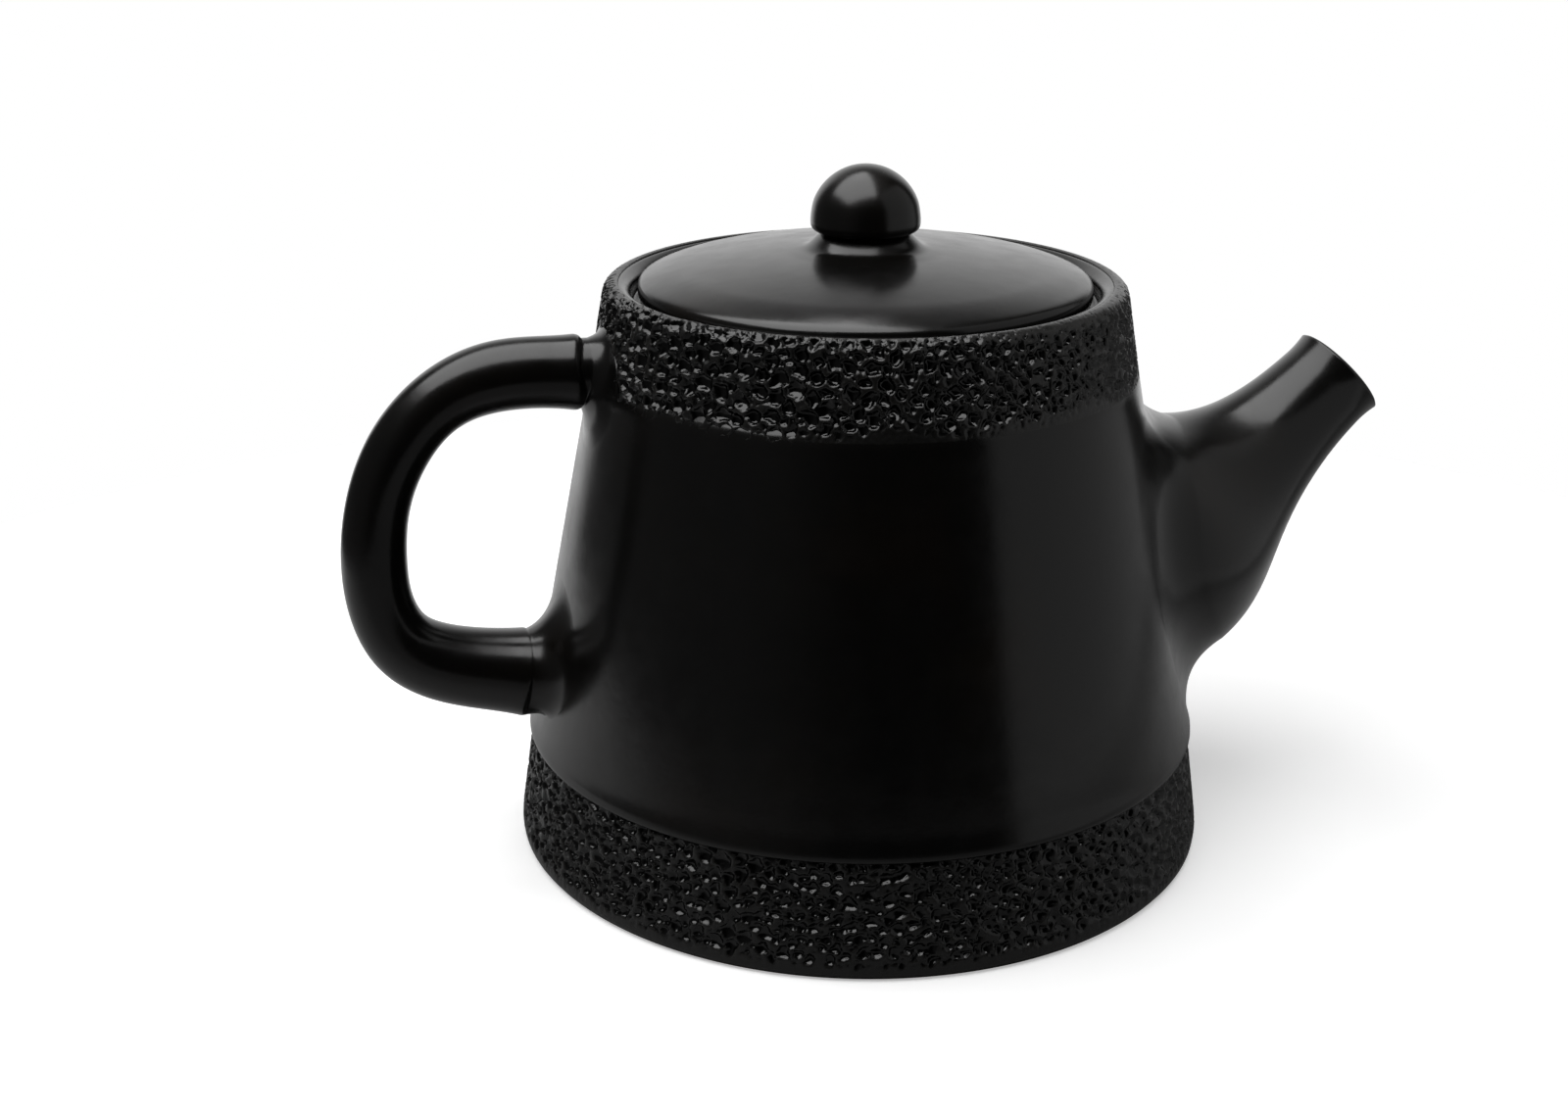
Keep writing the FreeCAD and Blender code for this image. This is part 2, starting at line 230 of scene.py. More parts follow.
def skin(name, grid, closed):
    """Mesh over a grid of points: the first index goes round, the second runs along."""
    around, along = grid.shape[:2]
    here = np.arange(around * along).reshape(around, along)
    beside = np.roll(here, -1, 0)
    quads = np.stack((here, beside, np.roll(beside, -1, 1), np.roll(here, -1, 1)), -1)
    if not closed:
        quads = quads[:, :-1]
    mesh = bpy.data.meshes.new(name)
    mesh.from_pydata((grid.reshape(-1, 3) * MM).tolist(), [], quads.reshape(-1, 4).tolist())
    obj = bpy.data.objects.new(name, mesh)
    bpy.context.scene.collection.objects.link(obj)
    finish_mesh(obj)
    return obj


def finish_mesh(obj):
    """Merge doubled points, face the surface outwards and shade it smooth."""
    work = bmesh.new()
    work.from_mesh(obj.data)
    bmesh.ops.remove_doubles(work, verts=work.verts, dist=1e-7)
    bmesh.ops.recalc_face_normals(work, faces=work.faces)
    for face in work.faces:
        face.smooth = True
    work.to_mesh(obj.data)
    work.free()


def turned_grid(outline, around, uneven=1.0):
    """Outline turned about the axis; 'uneven' scales the sway of the wall."""
    theta = np.arange(around)[:, None] * TURN / around
    radius = outline[None, :, 0]
    height = outline[None, :, 1]
    radius = radius + uneven * sway(theta, height) * np.clip(radius / 50, 0, 1)
    return np.stack((radius * np.cos(theta), radius * np.sin(theta),
                     np.broadcast_to(height, radius.shape)), -1)


def turned(name, corners, around, step, closed, rounds=2, uneven=1.0):
    """Turned piece, with so many columns and points of its outline a step of mm apart."""
    return skin(name, turned_grid(trace(corners, step, closed, rounds), around, uneven), closed)


# --------------------------------------------------------------- pitted bands
def scatter_pits(rng, length, low, high, size_at, factors, tries, apart_by):
    """Pits strewn over an unrolled band, big ones first: (along, up, radius)."""
    pits = np.empty((0, 3))
    for factor in factors:
        places = np.stack((rng.random(tries) * length, low + rng.random(tries) * (high - low)), 1)
        for u, v in places:
            radius = factor * size_at(u, v) * rng.uniform(0.88, 1.12)
            if radius <= SMALLEST_PIT:
                continue
            du = (pits[:, 0] - u + length / 2) % length - length / 2
            apart = np.hypot(du, pits[:, 1] - v)
            if np.all(apart > apart_by * (pits[:, 2] + radius)):
                pits = np.vstack((pits, (u, v, radius)))
    return pits


def carve(rng, length, around, ups, pits, depth_of, ring):
    """Depth of the pits over the grid: uneven oval bowls with slightly raised rings."""
    step = length / around
    depth = np.zeros((around, len(ups)))
    lift = np.zeros((around, len(ups)))
    angle = np.arange(around)[:, None] * TURN / around
    rise = ups[None, :]
    phase = rng.uniform(0, TURN, 4)
    warp_u = PIT_WARP * (np.sin(angle * 113 + rise * 1.7 + phase[0])
                         + np.sin(angle * 71 - rise * 2.3 + phase[1]))
    warp_v = PIT_WARP * (np.sin(angle * 97 - rise * 1.9 + phase[2])
                         + np.sin(angle * 61 + rise * 2.6 + phase[3]))
    for u, v, radius in pits:
        reach = radius * 1.9 + 0.5
        columns = np.arange(int((u - reach) / step), int((u + reach) / step) + 2)
        rows = np.nonzero(np.abs(ups - v) < reach)[0]
        lean = rng.uniform(0, math.pi)
        stretch = rng.uniform(1.0, 1.35)
        if len(rows) == 0:
            continue
        place = np.ix_(columns % around, rows)
        x = (columns * step - u)[:, None] + warp_u[place]
        y = (ups[rows] - v)[None, :] + warp_v[place]
        across = (x * math.cos(lean) + y * math.sin(lean)) / (radius * math.sqrt(stretch))
        up = (y * math.cos(lean) - x * math.sin(lean)) / (radius / math.sqrt(stretch))
        out = np.sqrt(across ** 2 + up ** 2)
        deep = depth_of(u, v, radius)
        depth[place] = np.maximum(depth[place], deep * np.clip(1 - out ** 2, 0, 1) ** 0.62)
        lift[place] = np.maximum(lift[place], ring * deep * np.exp(-((out - 1.12) / 0.14) ** 2))
    return depth - lift * np.exp(-depth / 0.05)


def pitted_band(name, seed, outer, inner, around, size_at, depth_of, factors, tries, margin,
                apart_by, ring=0.10):
    """Closed collar whose outside is eaten by pits; keeps each point's pit depth.

    'factors' scale the pits of each round of tries, 'margin' keeps pits off the lower
    and upper edge, 'apart_by' spaces them and 'ring' raises the clay round them.
    """
    rng = np.random.default_rng(seed)
    ups = lengths_along(outer)
    length = TURN * float(outer[:, 0].mean())
    pits = scatter_pits(rng, length, ups[0] + margin[0], ups[-1] - margin[1], size_at, factors,
                        tries, apart_by)
    depth = carve(rng, length, around, ups, pits, depth_of, ring)
    slope = np.gradient(outer, axis=0)
    slope /= np.linalg.norm(slope, axis=1)[:, None]
    outline = np.concatenate((outer, inner))
    grid = turned_grid(outline, around)
    theta = np.arange(around)[:, None] * TURN / around
    rows = len(outer)
    grid[:, :rows, 0] -= depth * slope[None, :, 1] * np.cos(theta)
    grid[:, :rows, 1] -= depth * slope[None, :, 1] * np.sin(theta)
    grid[:, :rows, 2] += depth * slope[None, :, 0]
    obj = skin(name, grid, True)
    hollow = np.zeros((around, len(outline)), np.float32)
    hollow[:, :rows] = depth
    store = obj.data.attributes.new("pit_depth", "FLOAT", "POINT")
    store.data.foreach_set("value", hollow.ravel())
    return obj


# --------------------------------------------------- limbs that meet the wall
def above_wall(points):
    """How far points stand out from the pot's outside."""
    theta = np.arctan2(points[..., 1], points[..., 0])
    return np.hypot(points[..., 0], points[..., 1]) - wall_radius(theta, points[..., 2])


def set_above_wall(point, gap):
    """The same point moved level with the ground to a given gap from the outside."""
    theta = math.atan2(point[1], point[0])
    radius = float(wall_radius(theta, point[2])) + gap
    return np.array((radius * math.cos(theta), radius * math.sin(theta), point[2]))


def root_blend(line, reach, rows, hug=0.7, widen=1.0, steep=0.0, middle=None):
    """Fillet from a limb's surface line onto the wall.

    The line starts inside the pot and leaves it. A high 'hug' keeps the fillet close
    to the corner, 'widen' spreads it further over the wall than along the limb,
    'steep' lets it leave the limb at an angle, and 'middle' is the point on the wall
    from which it spreads, if that isn't the way the line leans. Gives the rows from
    the wall to the limb, the length along the line at which they join it, and the
    line's lengths.
    """
    gap = above_wall(line)
    inside = np.nonzero(gap < 0)[0]
    k = int(inside[-1]) if len(inside) else 0
    share = -gap[k] / (gap[k + 1] - gap[k])
    lengths = lengths_along(line)
    meet_at = lengths[k] + share * (lengths[k + 1] - lengths[k])
    join_at = min(meet_at + reach, lengths[-1])
    meet = line[k] + share * (line[k + 1] - line[k])
    join = np.array([np.interp(join_at, lengths, line[:, axis]) for axis in range(3)])
    theta = math.atan2(meet[1], meet[0])
    outward = np.array((math.cos(theta), math.sin(theta), WALL_LEAN))
    outward /= np.linalg.norm(outward)
    away = meet - (join if middle is None else middle)
    away -= outward * float(away @ outward)
    away /= max(float(np.linalg.norm(away)), 1e-9)
    room = (meet[2] - ROOT_FLOOR) / -away[2] if away[2] < 0 else reach * widen
    foot = meet + away * max(min(reach * widen, room), LEAST_SPREAD)
    height = float(above_wall(join))
    guides = (join, join + (meet - join) * hug + (foot - meet) * steep,
              meet + (foot - meet) * (1 - hug), foot)
    gaps = (height, height * (1 - hug), 0.0, 0.0)
    points = []
    for step in range(rows):
        s = 1 - step / rows
        weights = ((1 - s) ** 3, 3 * s * (1 - s) ** 2, 3 * s * s * (1 - s), s ** 3)
        point = sum(weight * guide for weight, guide in zip(weights, guides))
        stand = sum(weight * rise for weight, rise in zip(weights, gaps))
        points.append(set_above_wall(point, stand - EDGE_SINK * s ** 8))
    return np.array(points), join_at, lengths


def along_line(line, lengths, start, end, rows):
    """Evenly spaced points of a line between two lengths."""
    where = start + (end - start) * (np.arange(rows) / (rows - 1))
    return np.stack([np.interp(where, lengths, line[:, axis]) for axis in range(3)], 1)


def tube_lines(centres, ups, radii, around):
    """Surface lines of a tube in the XZ plane, one for each place round it.

    The first place is the one that 'ups' point to; radii may differ by place.
    """
    sides = np.array((0.0, 1.0, 0.0))
    angle = np.arange(around)[:, None, None] * TURN / around
    radii = np.broadcast_to(radii, (around, len(centres)))[..., None]
    return centres[None] + radii * (np.cos(angle) * ups[None] + np.sin(angle) * sides)


def make_spout():
    """Hollow spout flowing out of the wall, with a rounded mouth."""
    around = 128
    line = soften(smooth_line(SPOUT_STATIONS, 160), 110)
    rise = np.radians(line[:, 2])
    level = np.zeros(len(line))
    centres = np.stack((line[:, 0], level, line[:, 1]), 1)
    forward = np.stack((np.cos(rise), level, np.sin(rise)), 1)
    ups = np.stack((-np.sin(rise), level, np.cos(rise)), 1)
    share = np.arange(len(line)) / (len(line) - 1)
    radii = line[:, 3] + SPOUT_FLARE * np.clip((share - 0.92) / 0.08, 0, 1) ** 2
    outer = tube_lines(centres, ups, radii, around)
    bore = tube_lines(centres, ups, line[:, 3] - SPOUT_WALL, around)
    columns = []
    for place in range(around):
        reach = SPOUT_REACH + SPOUT_REACH_MORE * math.cos(2 * place * TURN / around)
        blend, join_at, lengths = root_blend(outer[place], reach, rows=26)
        mouth_at = lengths[-1] - SPOUT_MOUTH_ROUNDING
        limb = along_line(outer[place], lengths, join_at, mouth_at, 70)
        edge, inner_edge = outer[place, -1], bore[place, -1]
        rim = []
        for turn in np.linspace(0.12, 0.88, 7) * math.pi:
            across = (1 - math.cos(turn)) / 2
            rim.append(edge + (inner_edge - edge) * across
                       + forward[-1] * SPOUT_MOUTH_ROUNDING * (math.sin(turn) - 1))
        last_inside = int(np.nonzero(above_wall(bore[place]) < 0)[0][-1])
        bore_lengths = lengths_along(bore[place])
        tail = along_line(bore[place], bore_lengths, bore_lengths[-1] - SPOUT_MOUTH_ROUNDING,
                          bore_lengths[last_inside], 30)
        hidden = set_above_wall(blend[0], -1.2)
        columns.append(np.concatenate(([hidden], blend, limb, np.array(rim), tail)))
    return skin("spout_body", np.array(columns), True)


def handle_lines(around, count):
    """Centre line of the handle and its surface lines, with the creases at both ends."""
    line = soften(smooth_line(HANDLE_STATIONS, count), 60)
    centres = np.stack((-line[:, 0], np.zeros(count), line[:, 1]), 1)
    forward = np.gradient(centres, axis=0)
    forward /= np.linalg.norm(forward, axis=1)[:, None]
    ups = np.stack((forward[:, 2], np.zeros(count), -forward[:, 0]), 1)
    lengths = lengths_along(centres)
    limb = line[:, 2] + 0.10 * np.sin(lengths / 9.0) + 0.06 * np.sin(lengths / 3.7 + 1.0)
    angle = np.arange(around)[:, None] * TURN / around
    wobble = 0.35 * np.sin(2 * angle + 0.6) + 0.25 * np.sin(3 * angle + 2.0)
    radii = np.broadcast_to(limb, (around, count))
    for out, way, root, outer_swell, inner_swell in HANDLE_CREASES:
        end = slice(0, count // 6) if way > 0 else slice(-count // 5, None)
        crease = float(np.interp(out * way, line[end, 0] * way, lengths[end]))
        past = (lengths[None] - crease) * way + wobble
        swell = outer_swell + (inner_swell - outer_swell) * (1 - np.cos(angle)) / 2
        swollen = limb + swell * np.exp(-np.clip(past, 0, None) / CREASE_SWELL_LENGTH)
        shoulder = np.sqrt(1 - (1 - np.clip(past / CREASE_WIDTH, 0, 1)) ** 2)
        radii = np.where(past < CREASE_ZONE, root + (swollen - root) * shoulder, radii)
    return centres, tube_lines(centres, ups, radii, around)


def make_handle():
    """Loop handle of rolled clay, pressed on at both ends with a crease."""
    around = 72
    count = 560
    half = count // 2
    centres, surface = handle_lines(around, count)
    high_middle = centres[:half][above_wall(centres[:half]) < 0][-1]
    low_middle = centres[half:][above_wall(centres[half:]) < 0][0]
    columns = []
    for place in range(around):
        inner_side = (1 - math.cos(TURN * place / around)) / 2
        front = surface[place, :half + 1]
        top, top_join, top_lengths = root_blend(
            front, reach=2.6, rows=22, hug=0.5, widen=0.7 + 2.9 * inner_side, steep=0.2,
            middle=high_middle)
        back = surface[place, half:][::-1]
        low, low_join, low_lengths = root_blend(
            back, reach=5.4, rows=24, hug=0.55, widen=0.3 + 1.9 * inner_side, steep=0.15,
            middle=low_middle)
        first = along_line(front, top_lengths, top_join, top_lengths[-1], 220)
        second = along_line(back, low_lengths, low_join, low_lengths[-1], 220)[::-1]
        columns.append(np.concatenate((top, first, second[1:], low[::-1])))
    grid = np.array(columns)
    caps = []
    for ring in (grid[:, 0], grid[:, -1]):
        middle = set_above_wall(ring.mean(0), -3.0)
        sunk = np.array([set_above_wall(point, -1.5) for point in ring])
        caps.append(np.stack((np.broadcast_to(middle, ring.shape), sunk), 1))
    grid = np.concatenate((caps[0], grid, caps[1][:, ::-1]), 1)
    return skin("handle_loop", grid, False)


def make_wall():
    """Thrown cone with a rolled edge above the lower band and a hole behind the spout."""
    wall = turned("pot_wall", WALL_OUTLINE, 224, 1.4, closed=True, rounds=1)
    cutter = turned("hole_cutter", ((0.0, 0.0), (20.0, 0.0), (20.0, 80.0), (0.0, 80.0)),
                    96, 4.0, closed=False, rounds=0, uneven=0.0)
    cutter.matrix_world = Matrix.Translation((0, 0, 55 * MM)) @ Matrix.Rotation(math.pi / 2, 4, "Y")
    cut = wall.modifiers.new("spout_hole", "BOOLEAN")
    cut.object = cutter
    cut.operation = "DIFFERENCE"
    cut.solver = "EXACT"
    bpy.context.view_layer.update()
    made = bpy.data.meshes.new_from_object(wall.evaluated_get(bpy.context.evaluated_depsgraph_get()))
    wall.modifiers.clear()
    wall.data = made
    bpy.data.objects.remove(cutter)
    return wall


def lower_band():
    """Pitted collar round the base; its smooth skirt runs down over the foot."""
    skirt = trace(((69.1, 0.5), (69.65, 1.0), (69.78, 2.2), (69.72, 3.0)), 0.7, False, 0)[:-1]
    outer = np.concatenate((skirt, trace(((69.72, 3.0), (66.75, 22.9)), 0.30, False)))
    inner = trace(((66.3, 23.1), (61.9, 22.9), (61.9, 3.4), (68.6, 3.2), (68.75, 0.6)), 2.4, False, 0)

    def size_at(u, v):
        patchy = 0.12 * math.sin(u * 0.21) + 0.10 * math.sin(u * 0.083 + v * 0.5)
        return (1.0 + patchy) * min(1, 0.30 + max(0, v - 2.2) / 3.2)

    def depth_of(u, v, radius):
        return min(0.90, 0.92 * radius) * min(1, 0.25 + max(0, v - 2.0) / 3.0)

    return pitted_band("lower_band", 11, outer, inner, 1120, size_at, depth_of,
                       factors=(1.25, 1.05, 0.88, 0.7, 0.52, 0.38), tries=4200,
                       margin=(2.6, 0.0), apart_by=0.84)


def upper_band():
    """Pitted collar under the lip; its lower edge dies out unevenly."""
    outer = trace(((53.05, 94.2), (52.98, 95.2), (50.22, 110.9, 2.6, -1), (48.0, 112.83),
                   (47.3, 112.65)), 0.27, False)
    inner = trace(((47.3, 112.2), (48.6, 110.9), (51.4, 95.5), (52.7, 94.0)), 2.0, False, 0)
    length = TURN * float(outer[:, 0].mean())

    def coarse(u):
        """1 where the pits are big, at the front left, down to 0 elsewhere."""
        theta = u / length * TURN
        return 0.5 + 0.5 * math.tanh(3.0 * (math.cos(theta - math.radians(-138)) - 0.72))

    def fade(u, v):
        theta = u / length * TURN
        edge = (3.4 - 1.6 * coarse(u) + 1.1 * math.sin(3 * theta + 0.4) + 0.8 * math.sin(7 * theta + 2)
                + 0.5 * math.sin(17 * theta))
        return min(1, max(0, (v - edge + 1.5) / 3.0))

    def size_at(u, v):
        near_lip = min(1, max(0, (v - 16.6) / 1.6)) * (1 - coarse(u))
        return (0.74 + 0.70 * coarse(u)) * (0.35 + 0.65 * fade(u, v)) * (1 - 0.8 * near_lip)

    def depth_of(u, v, radius):
        return min(1.10, 0.85 * radius) * (0.12 + 0.88 * fade(u, v))

    return pitted_band("upper_band", 23, outer, inner, 1110, size_at, depth_of,
                       factors=(1.25, 1.0, 0.8, 0.62, 0.45, 0.34), tries=3600,
                       margin=(1.0, 0.9), apart_by=0.86)


# Each CAD node that a finer piece stands for, in the order in which they are made.
pieces = {
    "body_wall": make_wall(),
    "floor_disc": turned("floor_plate", FLOOR_OUTLINE, 160, 1.5, closed=False, rounds=0, uneven=0.0),
    "rim_ring": turned("rim_lip", LIP_OUTLINE, 256, 0.4, closed=True),
    "upper_pitted_band": upper_band(),
    "lower_pitted_band": lower_band(),
    "foot_ring": turned("foot_base", FOOT_OUTLINE, 256, 0.4, closed=True),
    "spout": make_spout(),
    "handle": make_handle(),
    "lid_plate": turned("lid_cover", LID_OUTLINE, 224, 0.6, closed=False),
    "lid_flange": turned("lid_collar", COLLAR_OUTLINE, 160, 0.6, closed=True),
    "lid_knob": turned("knob_button", KNOB_OUTLINE, 128, 0.35, closed=False),
}
for node, piece in pieces.items():
    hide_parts(node)


# ------------------------------------------------------------------ materials
GLAZE_IOR = 1.52


def new_material(name):
    """Material with its shader, and short helpers to add and join nodes."""
    material = bpy.data.materials.new(name)
    material.use_nodes = True
    tree = material.node_tree
    shader = tree.nodes["Principled BSDF"]

    def add(kind, inputs=None, **settings):
        node = tree.nodes.new(kind)
        for key, value in settings.items():
            setattr(node, key, value)
        for key, value in (inputs or {}).items():
            if isinstance(value, bpy.types.NodeSocket):
                tree.links.new(value, node.inputs[key])
            else:
                node.inputs[key].default_value = value
        return node

    return material, tree, shader, add


def ramp(add, factor, stops):
    """Colour ramp over a factor; stops are (place, colour)."""
    node = add("ShaderNodeValToRGB", {"Fac": factor})
    while len(node.color_ramp.elements) < len(stops):
        node.color_ramp.elements.new(0.5)
    for element, (place, colour) in zip(node.color_ramp.elements, stops):
        element.position = place
        element.color = (*colour, 1)
    return node.outputs["Color"]


def rescale(add, value, low, high, to_low, to_high):
    """Value carried from one range to another, held at the ends."""
    node = add("ShaderNodeMapRange", {"Value": value, "From Min": low, "From Max": high,
                                      "To Min": to_low, "To Max": to_high})
    return node.outputs["Result"]


def noise(add, place, scale, detail):
    """Noise of so many cycles in a metre."""
    return add("ShaderNodeTexNoise", {"Vector": place, "Scale": scale, "Detail": detail}).outputs["Fac"]


def math_node(add, operation, first, second):
    """Sum, product or the like of two values."""
    node = add("ShaderNodeMath", {0: first, 1: second}, operation=operation)
    return node.outputs[0]


def mix_colour(add, factor, first, second):
    """First colour at factor 0, second at 1."""
    node = add("ShaderNodeMix", {"Factor": factor, 6: first, 7: second}, data_type="RGBA")
    return node.outputs[2]


def finish_shader(tree, shader, colour, rough, bump):
    """Colour, roughness and bump into the shader of a glazed or bare clay surface."""
    tree.links.new(colour, shader.inputs["Base Color"])
    tree.links.new(rough, shader.inputs["Roughness"])
    tree.links.new(bump.outputs["Normal"], shader.inputs["Normal"])
    shader.inputs["IOR"].default_value = GLAZE_IOR


def satin_glaze():
    """Black satin glaze: warm thin patches, fine orange peel, some specks and burst bubbles."""
    material, tree, shader, add = new_material("satin_glaze")
    place = add("ShaderNodeTexCoord").outputs["Object"]
    broad = noise(add, place, 26.0, 6.0)
    mottle = noise(add, place, 190.0, 8.0)
    peel = noise(add, place, 520.0, 3.0)
    grain = noise(add, place, 2600.0, 2.0)
    tint = ramp(add, broad, ((0.35, (0.0026, 0.0026, 0.0026)), (0.55, (0.0036, 0.0033, 0.0029)),
                             (0.75, (0.0068, 0.0048, 0.0032))))
    dots = add("ShaderNodeTexVoronoi", {"Vector": place, "Scale": 95.0})
    near = rescale(add, dots.outputs["Distance"], 0.012, 0.030, 1.0, 0.0)
    pick = add("ShaderNodeSeparateColor", {"Color": dots.outputs["Color"]})
    rare = rescale(add, pick.outputs["Red"], 0.955, 0.965, 0.0, 1.0)
    speck = math_node(add, "MULTIPLY", near, rare)
    colour = mix_colour(add, speck, tint, (0.10, 0.095, 0.085, 1))
    rough = math_node(add, "ADD", rescale(add, mottle, 0.3, 0.7, 0.17, 0.24),
                      rescale(add, broad, 0.3, 0.7, -0.02, 0.03))
    rough = math_node(add, "ADD", rough, rescale(add, grain, 0.3, 0.7, -0.015, 0.02))
    bubbles = add("ShaderNodeTexVoronoi", {"Vector": place, "Scale": 30.0})
    ring = rescale(add, math_node(add, "ABSOLUTE", math_node(
        add, "SUBTRACT", bubbles.outputs["Distance"], 0.052), 0.0), 0.0, 0.012, 1.0, 0.0)
    chosen = add("ShaderNodeSeparateColor", {"Color": bubbles.outputs["Color"]})
    seldom = rescale(add, chosen.outputs["Green"], 0.93, 0.94, 0.0, 1.0)
    burst = math_node(add, "MULTIPLY", ring, seldom)
    height = math_node(add, "ADD", math_node(add, "MULTIPLY", peel, 0.35),
                       math_node(add, "MULTIPLY", mottle, 0.8))
    height = math_node(add, "SUBTRACT", height, math_node(add, "MULTIPLY", burst, 0.8))
    height = math_node(add, "ADD", height, math_node(add, "MULTIPLY", speck, 0.6))
    bump = add("ShaderNodeBump", {"Height": height, "Strength": 0.25, "Distance": 0.00012})
    finish_shader(tree, shader, colour, rough, bump)
    return material


def pitted_glaze():
    """The same glaze over cratered clay: matte grey ridges, glassy pools in the pits."""
    material, tree, shader, add = new_material("pitted_glaze")
    place = add("ShaderNodeTexCoord").outputs["Object"]
    depth = add("ShaderNodeAttribute", attribute_name="pit_depth").outputs["Fac"]
    broad = noise(add, place, 60.0, 5.0)
    fine = noise(add, place, 1100.0, 4.0)
    hollow = rescale(add, depth, 0.05, 0.32, 0.0, 1.0)
    ridge = ramp(add, broad, ((0.35, (0.0070, 0.0070, 0.0068)), (0.7, (0.0112, 0.0104, 0.0094))))
    colour = mix_colour(add, hollow, ridge, (0.0012, 0.0012, 0.0012, 1))
    ridge_rough = rescale(add, fine, 0.3, 0.7, 0.26, 0.38)
    pool_rough = rescale(add, fine, 0.3, 0.7, 0.07, 0.13)
    rough = math_node(add, "ADD", math_node(add, "MULTIPLY", pool_rough, hollow),
                      math_node(add, "MULTIPLY", ridge_rough, math_node(add, "SUBTRACT", 1.0, hollow)))
    bump = add("ShaderNodeBump", {"Height": fine, "Strength": 0.45, "Distance": 0.00014})
    finish_shader(tree, shader, colour, rough, bump)
    return material


def foot_finish():
    """Glazed side, and bare speckled clay on the face that the pot stands on."""
    material, tree, shader, add = new_material("foot_clay")
    place = add("ShaderNodeTexCoord").outputs["Object"]
    split = add("ShaderNodeSeparateXYZ", {"Vector": place})
    wander = noise(add, place, 120.0, 4.0)
    grog = noise(add, place, 900.0, 6.0)
    level = math_node(add, "SUBTRACT", split.outputs["Z"], math_node(add, "MULTIPLY", wander, 0.0005))
    glazed = rescale(add, level, 0.0001, 0.0003, 0.0, 1.0)
    clay = ramp(add, grog, ((0.35, (0.060, 0.043, 0.032)), (0.5, (0.115, 0.082, 0.060)),
                            (0.68, (0.165, 0.125, 0.095))))
    colour = mix_colour(add, glazed, clay, (0.0058, 0.0055, 0.0050, 1))
    rough = math_node(add, "ADD", rescale(add, glazed, 0.0, 1.0, 0.78, 0.20),
                      rescale(add, grog, 0.3, 0.7, -0.04, 0.05))
    bump = add("ShaderNodeBump", {"Height": grog, "Strength": 0.35, "Distance": 0.0001})
    finish_shader(tree, shader, colour, rough, bump)
    return material


glaze = satin_glaze()
pitted = pitted_glaze()
clay = foot_finish()
finishes = {
    "upper_pitted_band": ("pitted_glaze", pitted),
    "lower_pitted_band": ("pitted_glaze", pitted),
    "foot_ring": ("foot_clay", clay),
}
riders = {"lid_plate": "lid_top", "lid_knob": "lid_top", "lid_flange": "lid_skirt"}
for node, piece in pieces.items():
    slot, material = finishes.get(node, ("satin_glaze", glaze))
    piece.data.materials.clear()
    piece.data.materials.append(material)
    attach(piece, riders.get(node, "pot"))

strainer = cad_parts["spout_strainer"]
strainer.data.materials.clear()
strainer.data.materials.append(glaze)


# -------------------------------------------------------- floor, light, camera
def pale_floor():
    """Round pale floor with the faintest mottling as the camera sees it; all other rays see it with
    painted shade, darker towards the front and darker still to the right, where the spout's shadow falls.
    """
    work = bmesh.new()
    bmesh.ops.create_circle(work, cap_ends=True, segments=160, radius=0.30)
    mesh = bpy.data.meshes.new("floor")
    work.to_mesh(mesh)
    work.free()
    floor = bpy.data.objects.new("floor", mesh)
    bpy.context.scene.collection.objects.link(floor)
    material, tree, shader, add = new_material("floor_paper")
    place = add("ShaderNodeTexCoord").outputs["Object"]
    soft = noise(add, place, 30.0, 3.0)
    tone = ramp(add, soft, ((0.3, (0.86, 0.86, 0.86)), (0.7, (0.90, 0.90, 0.90))))
    split = add("ShaderNodeSeparateXYZ", {"Vector": place})
    # Painted shade for reflections: the floor's colour falls from 0.80 at the back to 0.16 at the front,
    # and to about a third of that beyond 0.17 m to the right, where the spout's shadow lies.
    depth = math_node(add, "MULTIPLY", rescale(add, split.outputs["Y"], -0.10, 0.16, 0.16, 0.80),
                      rescale(add, split.outputs["X"], 0.17, 0.24, 1.0, 0.35))
    dim = add("ShaderNodeCombineColor", {"Red": depth, "Green": depth, "Blue": depth}).outputs[0]
    seen = add("ShaderNodeLightPath").outputs["Is Camera Ray"]
    # The camera sees the even pale tone; every other ray sees the painted shade.
    tree.links.new(mix_colour(add, seen, dim, tone), shader.inputs["Base Color"])
    shader.inputs["Roughness"].default_value = 0.9
    shader.inputs["Specular IOR Level"].default_value = 0.2
    shader.inputs["Emission Color"].default_value = (1, 1, 1, 1)
    tree.links.new(math_node(add, "MULTIPLY", seen, 0.42), shader.inputs["Emission Strength"])
    mesh.materials.append(material)
    return floor


def panel(name, centre, target, width, height, radiance):
    """Rectangular soft light facing a target; metres."""
    light = bpy.data.lights.new(name, "AREA")
    light.shape = "RECTANGLE"
    light.size = width
    light.size_y = height
    light.energy = radiance * math.pi * width * height
    lamp = bpy.data.objects.new(name, light)
    lamp.location = centre
    lamp.rotation_euler = (Vector(target) - Vector(centre)).to_track_quat("-Z", "Y").to_euler()
    lamp.visible_camera = False
    bpy.context.scene.collection.objects.link(lamp)
    return lamp


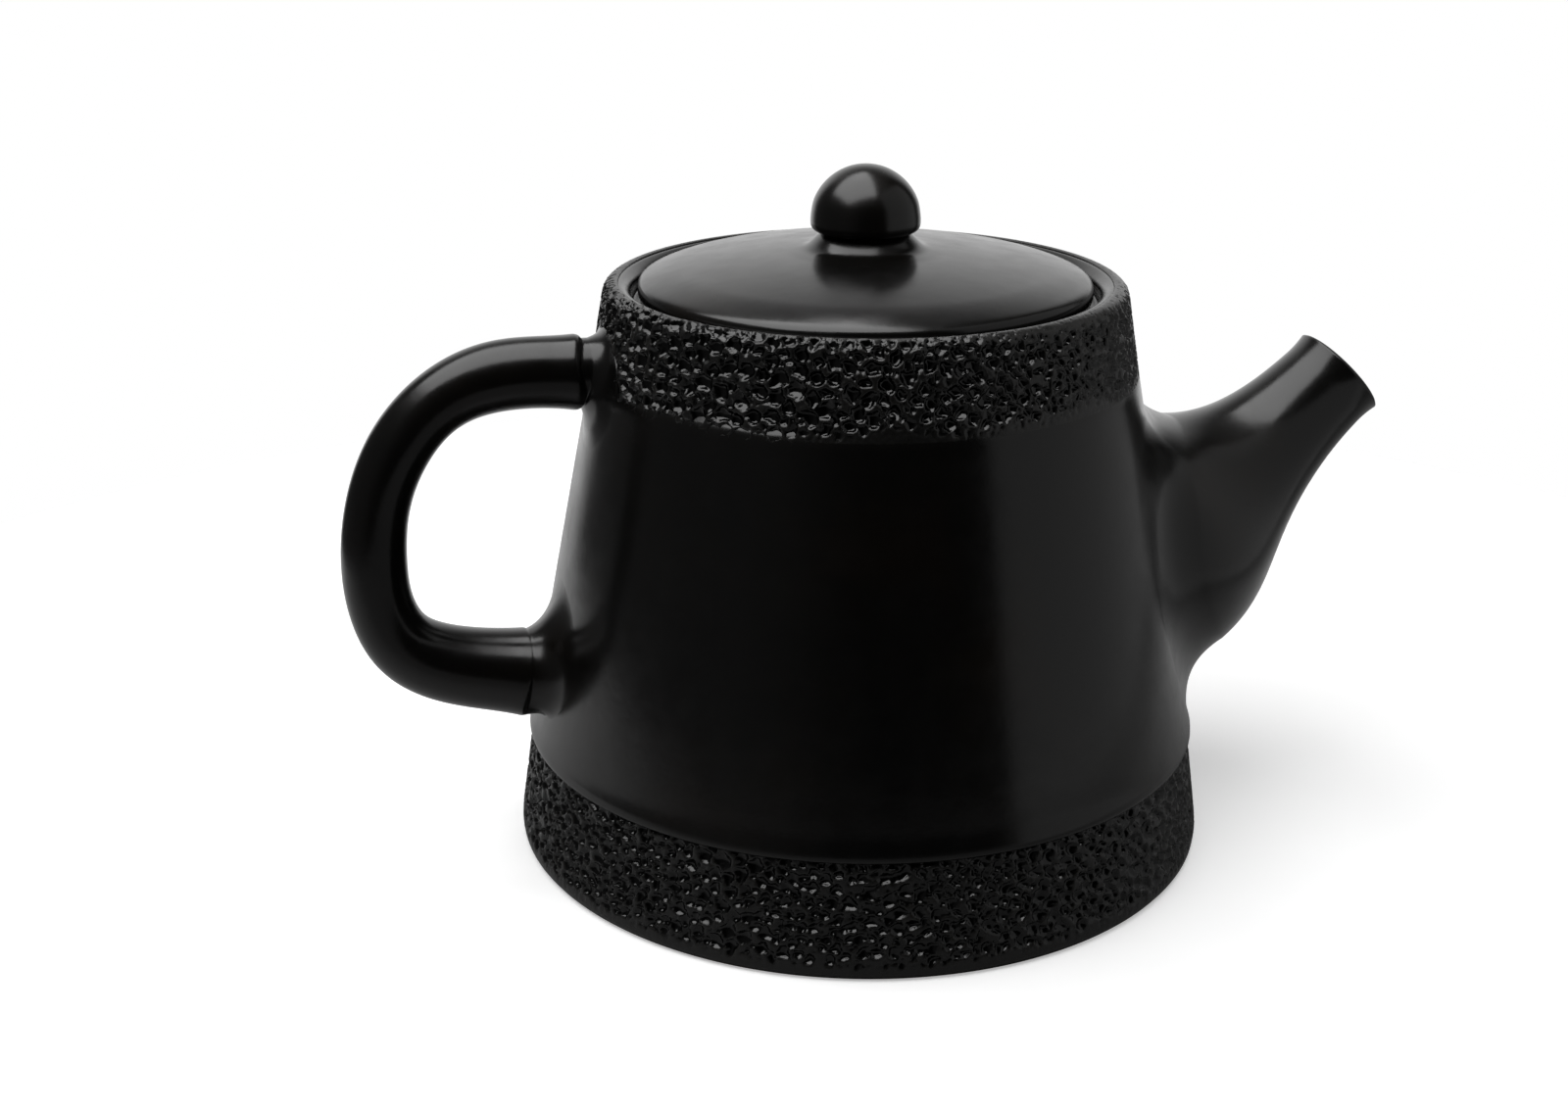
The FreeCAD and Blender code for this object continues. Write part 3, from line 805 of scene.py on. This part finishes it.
def studio_world():
    """White backdrop; reflections see it bright behind the pot and dim before it."""
    world = bpy.data.worlds.new("studio")
    bpy.context.scene.world = world
    world.use_nodes = True
    tree = world.node_tree
    tree.nodes.clear()
    links = tree.links
    way = tree.nodes.new("ShaderNodeTexCoord").outputs["Generated"]

    def vector_node(operation, first, second=None):
        node = tree.nodes.new("ShaderNodeVectorMath")
        node.operation = operation
        links.new(first, node.inputs[0])
        if second:
            node.inputs[1].default_value = second
        return node

    def facing(toward, direction, low, high, to_low, to_high):
        """Soft step of how far a way looked points along a direction."""
        step = tree.nodes.new("ShaderNodeMapRange")
        step.interpolation_type = "SMOOTHSTEP"
        for key, value in (("From Min", low), ("From Max", high), ("To Min", to_low), ("To Max", to_high)):
            step.inputs[key].default_value = value
        links.new(vector_node("DOT_PRODUCT", toward, direction).outputs["Value"], step.inputs["Value"])
        return step.outputs[0]

    def combine(operation, first, second):
        node = tree.nodes.new("ShaderNodeMath")
        node.operation = operation
        links.new(first, node.inputs[0])
        links.new(second, node.inputs[1])
        return node.outputs[0]

    level = vector_node("MULTIPLY", way, (1.0, 1.0, 0.0)).outputs["Vector"]
    heading = vector_node("NORMALIZE", level).outputs["Vector"]
    backdrop = combine("MULTIPLY", facing(heading, (0.225, 0.974, 0.0), 0.68, 0.90, 0.0, 1.15),
                       facing(way, (0.0, 0.0, 1.0), 0.30, 0.88, 1.0, 0.03))
    room = facing(way, (-0.951, 0.309, 0.0), -0.10, 0.75, 0.006, 0.075)
    ceiling = facing(way, (0.0, 0.0, 1.0), 0.70, 0.97, 0.0, 0.16)
    total = combine("ADD", combine("ADD", backdrop, room), ceiling)
    glow = tree.nodes.new("ShaderNodeBackground")
    links.new(total, glow.inputs["Strength"])
    plain = tree.nodes.new("ShaderNodeBackground")
    plain.inputs["Color"].default_value = (1, 1, 1, 1)
    path = tree.nodes.new("ShaderNodeLightPath")
    pick = tree.nodes.new("ShaderNodeMixShader")
    links.new(path.outputs["Is Camera Ray"], pick.inputs[0])
    links.new(glow.outputs[0], pick.inputs[1])
    links.new(plain.outputs[0], pick.inputs[2])
    out = tree.nodes.new("ShaderNodeOutputWorld")
    links.new(pick.outputs[0], out.inputs["Surface"])


pale_floor()
studio_world()
panel("overhead_softbox", (-0.27, 0.0, 0.70), (-0.27, 0.0, 0.0), width=0.78, height=0.76, radiance=3.2)
panel("right_card", (0.240, -0.044, 0.20), (0.002, 0.150, 0.20), width=0.424, height=0.50, radiance=0.28)

# The camera stands before the pot, to its left, and looks down by about 20 degrees.
# Its place is in metres and its turns are in degrees, with the tilt up from straight down.
CAMERA_PLACE = (-0.12029, -0.37020, 0.19987)
CAMERA_TILT = 69.6542
CAMERA_ROLL = -0.0504
CAMERA_HEADING = -15.71

camera_data = bpy.data.cameras.new("camera")
camera_data.lens = 47.25
camera_data.sensor_width = 36.0
camera_data.clip_start = 0.01
camera = bpy.data.objects.new("camera", camera_data)
bpy.context.scene.collection.objects.link(camera)
turns = [math.radians(turn) for turn in (CAMERA_TILT, CAMERA_ROLL, CAMERA_HEADING)]
camera.matrix_world = Matrix.LocRotScale(Vector(CAMERA_PLACE), Euler(turns), None)
bpy.context.scene.camera = camera
bpy.context.scene.view_settings.view_transform = "Standard"
